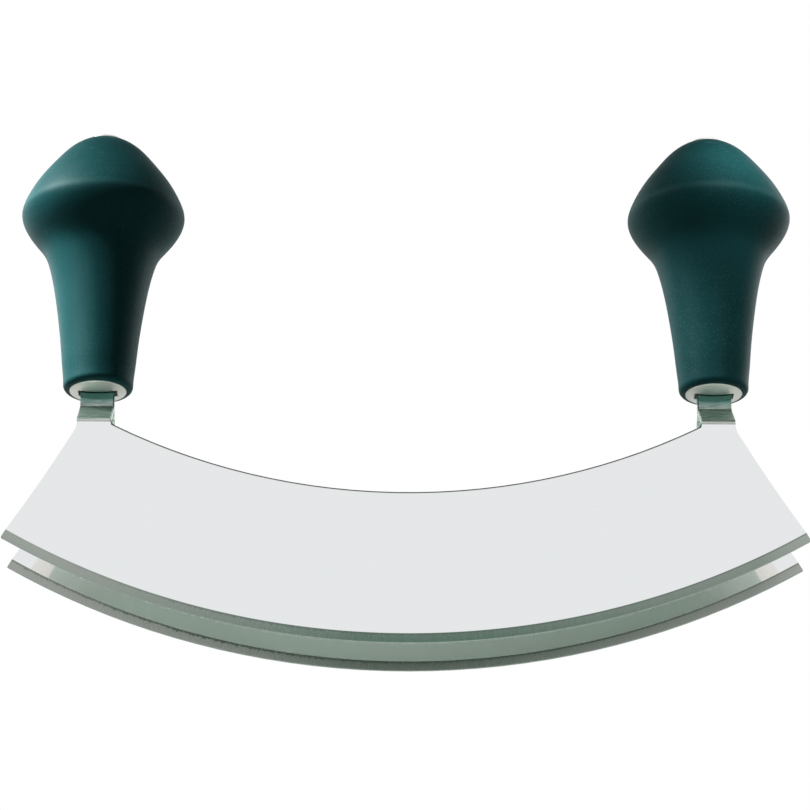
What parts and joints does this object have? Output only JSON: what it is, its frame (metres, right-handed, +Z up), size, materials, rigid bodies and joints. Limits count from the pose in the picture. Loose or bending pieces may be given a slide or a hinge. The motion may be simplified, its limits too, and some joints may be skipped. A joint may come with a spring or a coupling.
{
  "type": "mezzaluna",
  "caption": "Rocking kitchen knife with paired crescent blades whose tongues bend together into upright palm-knob grips at each end.",
  "frame": {"origin": "midway between the two blades, level with the lowest points of their cutting edges (centre of the bounding box's bottom face)", "axes": "+X along the blades, +Y from the front blade to the rear blade, +Z up from the cutting edges to the grips"},
  "size_m": [0.2204, 0.046, 0.1563],
  "materials": {
    "blade_steel": "polished stainless sheet with faint brushing along its length and a cross-ground V edge",
    "polished_steel": "polished stainless steel",
    "turned_steel": "plain turned stainless steel, hidden",
    "soft_grip": "matte soft-touch moulding, very dark teal black with a fine grain",
    "hard_core": "hard moulded plastic, hidden"
  },
  "bodies": {
    "root": {"front_blade": "blade_steel", "rear_blade": "blade_steel", "left_grip_cover": "soft_grip", "left_grip_core": "hard_core", "left_ferrule": "polished_steel", "left_tie_rod": "turned_steel", "left_lower_rivet": "turned_steel", "left_upper_rivet": "turned_steel", "left_nut_washer": "turned_steel", "left_cap_nut": "polished_steel", "right_grip_cover": "soft_grip", "right_grip_core": "hard_core", "right_ferrule": "polished_steel", "right_tie_rod": "turned_steel", "right_lower_rivet": "turned_steel", "right_upper_rivet": "turned_steel", "right_nut_washer": "turned_steel", "right_cap_nut": "polished_steel"}
  },
  "joints": []
}
